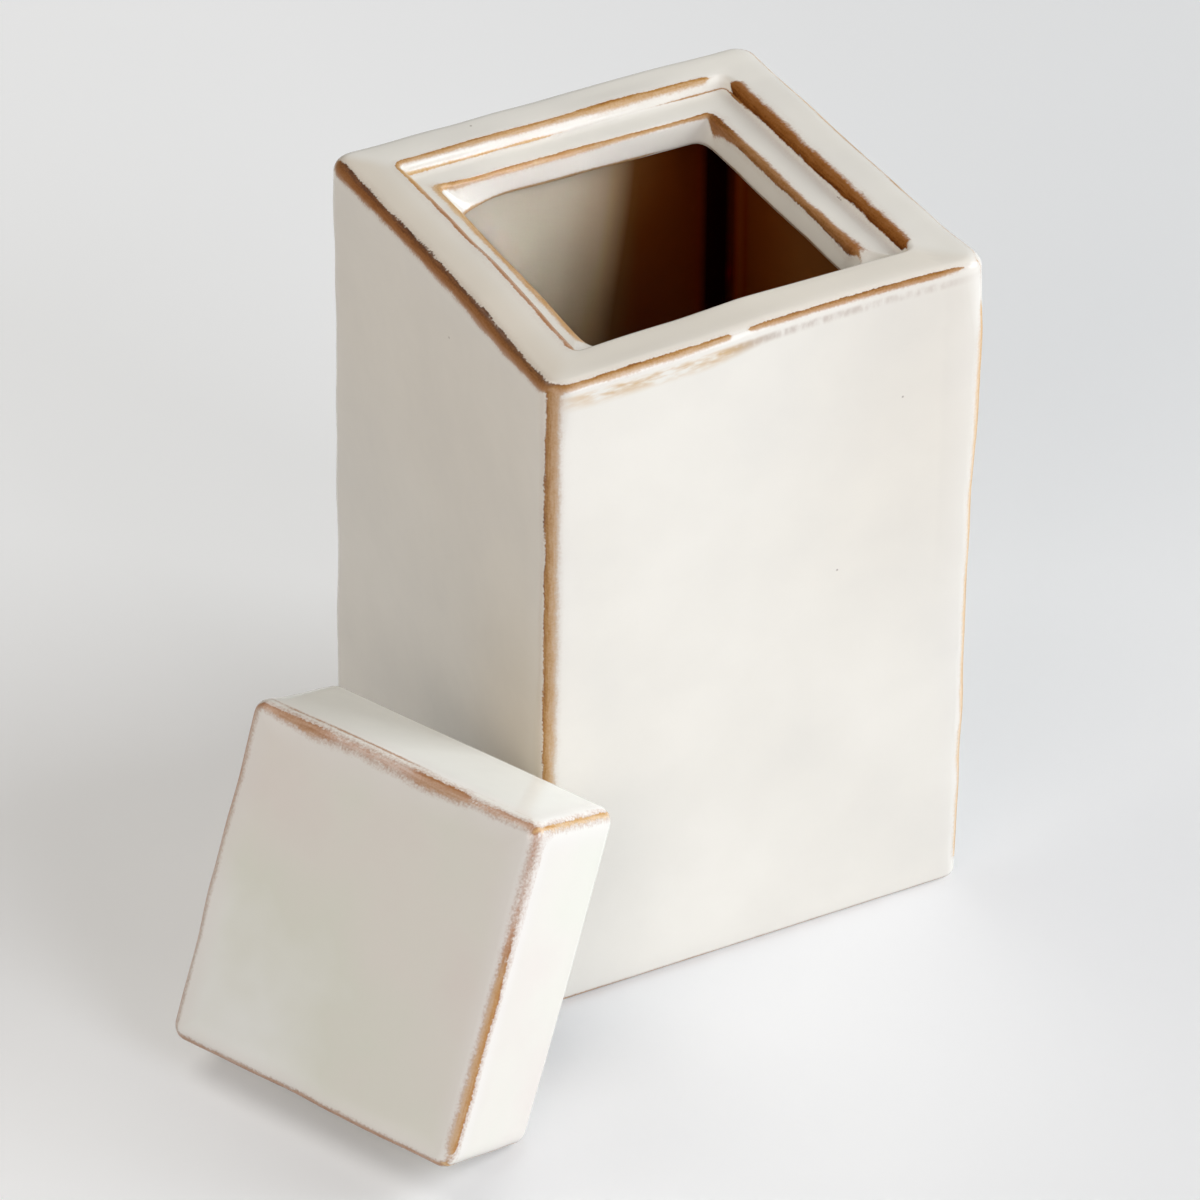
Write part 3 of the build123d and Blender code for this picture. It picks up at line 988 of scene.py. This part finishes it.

# %% [markdown]
# ## The floor
#
# The jar stands on a white paper sweep. A glow that only camera and glossy rays see paints light
# on it: it puts no light on the object, and the shadow stays. The painted light falls off across
# the picture, paler at the left, with a painted pool of light on each side of the foot.

# %% Lay the floor
bpy.ops.object.select_all(action="DESELECT")
bpy.ops.mesh.primitive_plane_add(size=5.0, location=(0, 0, -0.0002))
floor = bpy.context.active_object
floor.name = "studio_floor"
paper = bpy.data.materials.new("white_paper_sweep")
paper.use_nodes = True
tree = paper.node_tree
sheet = tree.nodes["Principled BSDF"]
feed(sheet, {"Base Color": colour("#E3E3E3"), "Roughness": 0.9, "Specular IOR Level": 0.1})
spot = add(tree, "TexCoord", {}).outputs["Object"]
leftward = add(tree, "VectorMath", {0: spot, 1: (-0.305, 0.306, 0.0)}, operation="DOT_PRODUCT")
strength = add(tree, "MapRange", {"Value": leftward, "From Min": -0.115, "From Max": 0.135, "To Max": 0.25})
# Two painted pools of light on the paper.
for pool, radius, amount in (((-0.168, -0.035, 0.0), 0.08, 0.085), ((0.03, -0.05, 0.0), 0.11, 0.09)):
    away = add(tree, "VectorMath", {0: spot, 1: pool}, operation="DISTANCE")
    bright = add(tree, "MapRange", {
        "Value": away, "From Min": radius, "From Max": 0.0, "To Max": amount}, **smooth)
    strength = add(tree, "Math", {0: strength, 1: bright}, operation="ADD")
glow = add(tree, "Emission", {"Color": colour("#FFFFFF"), "Strength": strength})
rays = add(tree, "LightPath", {}).outputs
seen = add(tree, "Math", {0: rays["Is Camera Ray"], 1: rays["Is Glossy Ray"]}, operation="MAXIMUM")
lifted = add(tree, "AddShader", {0: sheet, 1: glow})
mixed = add(tree, "MixShader", {0: seen, 1: sheet, 2: lifted})
feed(tree.nodes["Material Output"], {"Surface": mixed})
floor.data.materials.append(paper)
print("floor laid,", floor.dimensions.x, "m wide")

# %% [markdown]
# ## The light
#
# The main light is large and soft, at the right and a little in front: it gives the front face its
# even level and the lid its shadow. Weaker ones stand in front, at the left, overhead and behind.
# A low strip in front draws the thin white line in the glaze under each rounded edge. A snoot,
# which is a lamp in a tube, looks into the mouth, or the left of the inside would be lost. The
# room is pale to the camera and dim otherwise.

# %% Light the studio
world = bpy.data.worlds.new("studio_room")
world.use_nodes = True
tree = world.node_tree
room = tree.nodes["Background"]
feed(room, {"Color": colour("#FFFDFA"), "Strength": 0.125})
pale = add(tree, "Background", {"Color": colour("#FFFFFF"), "Strength": 0.8})
rays = add(tree, "LightPath", {}).outputs
mixed = add(tree, "MixShader", {0: rays["Is Camera Ray"], 1: room, 2: pale})
feed(tree.nodes["World Output"], {"Surface": mixed})
bpy.context.scene.world = world


def area_lamp(name, shape, size, watts, place, aim):
    """Puts an area lamp at a place and turns it to a point."""
    lamp = bpy.data.lights.new(name, "AREA")
    lamp.shape, lamp.size, lamp.energy = shape, size, watts
    holder = bpy.data.objects.new(name, lamp)
    bpy.context.scene.collection.objects.link(holder)
    holder.location = place
    holder.rotation_euler = (holder.location - aim).to_track_quat("Z", "Y").to_euler()
    print(name, "at", [round(v, 2) for v in holder.location])
    return lamp


lamp_distance = 1.6
for name, towards, wide, tall, watts, tint in (
    ("right_softbox", (0.9, -0.35, 0.5), 0.9, 0.9, 18.4, "#F5FAFF"),
    ("front_softbox", (0.2, -0.85, 0.5), 0.7, 0.7, 7.4, "#F2F6FF"),
    ("low_strip", (0.384, -0.9, 0.2), 1.3, 0.16, 1.9, "#F7FAFF"),
    ("left_fill", (-0.7, -0.5, 0.5), 0.9, 0.9, 6.0, "#FFF4EC"),
    ("top_fill", (-0.35, 0.3, 0.9), 0.9, 0.9, 6.4, "#FFFDF6"),
    ("back_strip", (0.7, 0.7, 0.15), 1.2, 0.3, 0.5, "#FFFFFF"),
):
    place = Vector(towards).normalized() * lamp_distance
    softbox = area_lamp(name, "RECTANGLE", wide, watts, place, Vector((0, 0, 0)))
    softbox.size_y, softbox.color = tall, colour(tint)[:3]

mouth_wall = Vector((-0.016, 0.042, 0.122))
snoot_place = mouth_wall + Vector((0.3, -0.8, 0.62)).normalized() * 0.5
snoot = area_lamp("snoot_into_mouth", "DISK", 0.02, 0.0018, snoot_place, mouth_wall)
snoot.spread = math.radians(8.0)

# %% [markdown]
# ## Finish
#
# Plain colours need the Standard view.

# %% Set the view and finish
bpy.context.scene.view_settings.view_transform = "Standard"
